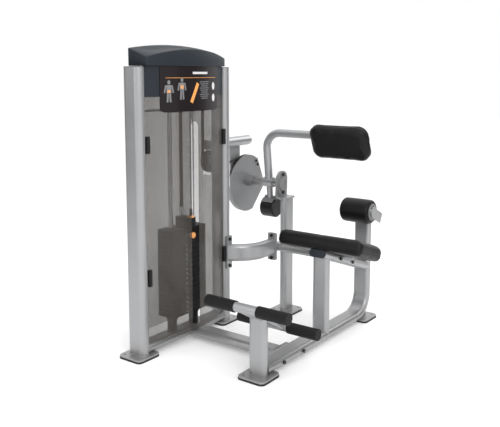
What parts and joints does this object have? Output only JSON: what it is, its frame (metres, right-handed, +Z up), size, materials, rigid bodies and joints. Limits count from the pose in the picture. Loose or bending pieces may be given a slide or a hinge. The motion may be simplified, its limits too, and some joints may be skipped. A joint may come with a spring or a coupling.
{
  "type": "seated back extension machine",
  "caption": "Seated back extension machine: a padded lever arm lifts a shrouded weight stack through a cam and belt, with a sloping seat, lumbar roll and foot bars.",
  "frame": {"origin": "floor point under the middle of the whole machine's box", "axes": "+Z up; +X from the weight tower towards the seat; +Y from the foot bars towards the lumbar roll"},
  "size_m": [1.0505, 1.388, 1.638],
  "materials": {
    "frame_paint": "light silver-grey metallic powder coat, satin",
    "black_paint": "black powder coat",
    "weight_paint": "black hammered enamel over cast plates",
    "chrome": "polished chrome plate",
    "rubber": "black moulded rubber",
    "belt_rubber": "black fibre-reinforced belt",
    "cover_plastic": "dark slate moulded plastic, fine texture",
    "tinted_plastic": "bronze-grey translucent acrylic",
    "placard_face": "printed sheet under a clear film",
    "black_plastic": "black moulded nylon",
    "orange_plastic": "orange moulded plastic",
    "vinyl": "black upholstery vinyl, fine grain",
    "cast_metal": "grey painted casting",
    "shaft_steel": "dark ground steel"
  },
  "bodies": {
    "frame": {"near_upright": "frame_paint", "far_upright": "frame_paint", "upright_caps": "black_plastic", "foot_plates": "frame_paint", "rubber_feet": "rubber", "tower_base_beam": "frame_paint", "tower_top_beam": "frame_paint", "rod_bridge": "black_paint", "guide_rods": "chrome", "stack_stand": "black_paint", "stack_bumpers": "rubber", "resting_plates": "weight_paint", "front_shroud": "tinted_plastic", "header_panel": "cover_plastic", "placard": "placard_face", "shroud_clips": "black_plastic", "rear_shroud": "tinted_plastic", "top_cover": "cover_plastic", "cover_screws": "black_paint", "redirect_bracket": "frame_paint", "pulley_carrier": "frame_paint", "pulley_axles": "chrome", "belt_lower_run": "belt_rubber", "belt_riser": "belt_rubber", "belt_top_run": "belt_rubber", "stub_tube": "frame_paint", "cam_support_plate": "frame_paint", "inner_bearing": "cast_metal", "pivot_post": "frame_paint", "pivot_bracket": "frame_paint", "outer_bearing": "cast_metal", "link_bar": "frame_paint", "crossbeam": "frame_paint", "frame_bolts": "black_paint", "seat_tube": "frame_paint", "seat_column": "frame_paint", "seat_pad": "vinyl", "rear_frame_tube": "frame_paint", "lumbar_bracket": "frame_paint", "base_cross_tube": "frame_paint", "footrest_frame": "frame_paint", "foot_grips": "rubber"},
    "arm": {"cam": "frame_paint", "cam_belt": "belt_rubber", "pivot_shaft": "shaft_steel", "arm_tube": "frame_paint", "counterweight": "black_paint", "counterweight_saddle": "cast_metal", "back_pad_bracket": "frame_paint", "back_pad": "vinyl"},
    "lifted_stack": {"lifted_plates": "weight_paint", "selector_stem": "chrome", "add_on_weight": "black_plastic", "belt_drop": "belt_rubber"},
    "selector_pin": {"selector_pin": "orange_plastic"},
    "redirect_pulley": {"redirect_pulley": "black_plastic"},
    "rear_top_pulley": {"rear_top_pulley": "black_plastic"},
    "front_top_pulley": {"front_top_pulley": "black_plastic"},
    "lumbar_roll": {"lumbar_core": "cast_metal", "lumbar_roll": "vinyl"}
  },
  "joints": [
    {"name": "arm_swing", "type": "hinge", "parent": "frame", "child": "arm", "pos_m": [-0.40025, 0.449, 0.81], "axis": [-1, 0, 0], "range_deg": [0, 60]},
    {"name": "stack_lift", "type": "slide", "parent": "frame", "child": "lifted_stack", "axis": [0, 0, 1], "range_m": [0, 0.167], "deforming": ["belt_drop"]},
    {"name": "pin_pull", "type": "slide", "parent": "lifted_stack", "child": "selector_pin", "axis": [1, 0, 0], "range_m": [0, 0.12]},
    {"name": "redirect_spin", "type": "hinge", "parent": "frame", "child": "redirect_pulley", "pos_m": [-0.49525, 0.091, 0.964], "axis": [1, 0, 0], "range_deg": [0, 154.88]},
    {"name": "rear_top_spin", "type": "hinge", "parent": "frame", "child": "rear_top_pulley", "pos_m": [-0.47649, -0.02968, 1.38], "axis": [0.9528, 0.3035, 0], "range_deg": [-154.88, 0]},
    {"name": "front_top_spin", "type": "hinge", "parent": "frame", "child": "front_top_pulley", "pos_m": [-0.41901, -0.21012, 1.38], "axis": [0.9528, 0.3035, 0], "range_deg": [-154.88, 0]},
    {"name": "roll_spin", "type": "hinge", "parent": "frame", "child": "lumbar_roll", "pos_m": [0.25675, 0.564, 0.676], "axis": [1, 0, 0], "continuous": true}
  ],
  "couplings": [
    {"joint": "stack_lift", "follows": "arm_swing", "m_per_rad": 0.1585},
    {"joint": "redirect_spin", "follows": "arm_swing", "ratio": 2.5647},
    {"joint": "rear_top_spin", "follows": "arm_swing", "ratio": -2.5647},
    {"joint": "front_top_spin", "follows": "arm_swing", "ratio": -2.5647}
  ]
}
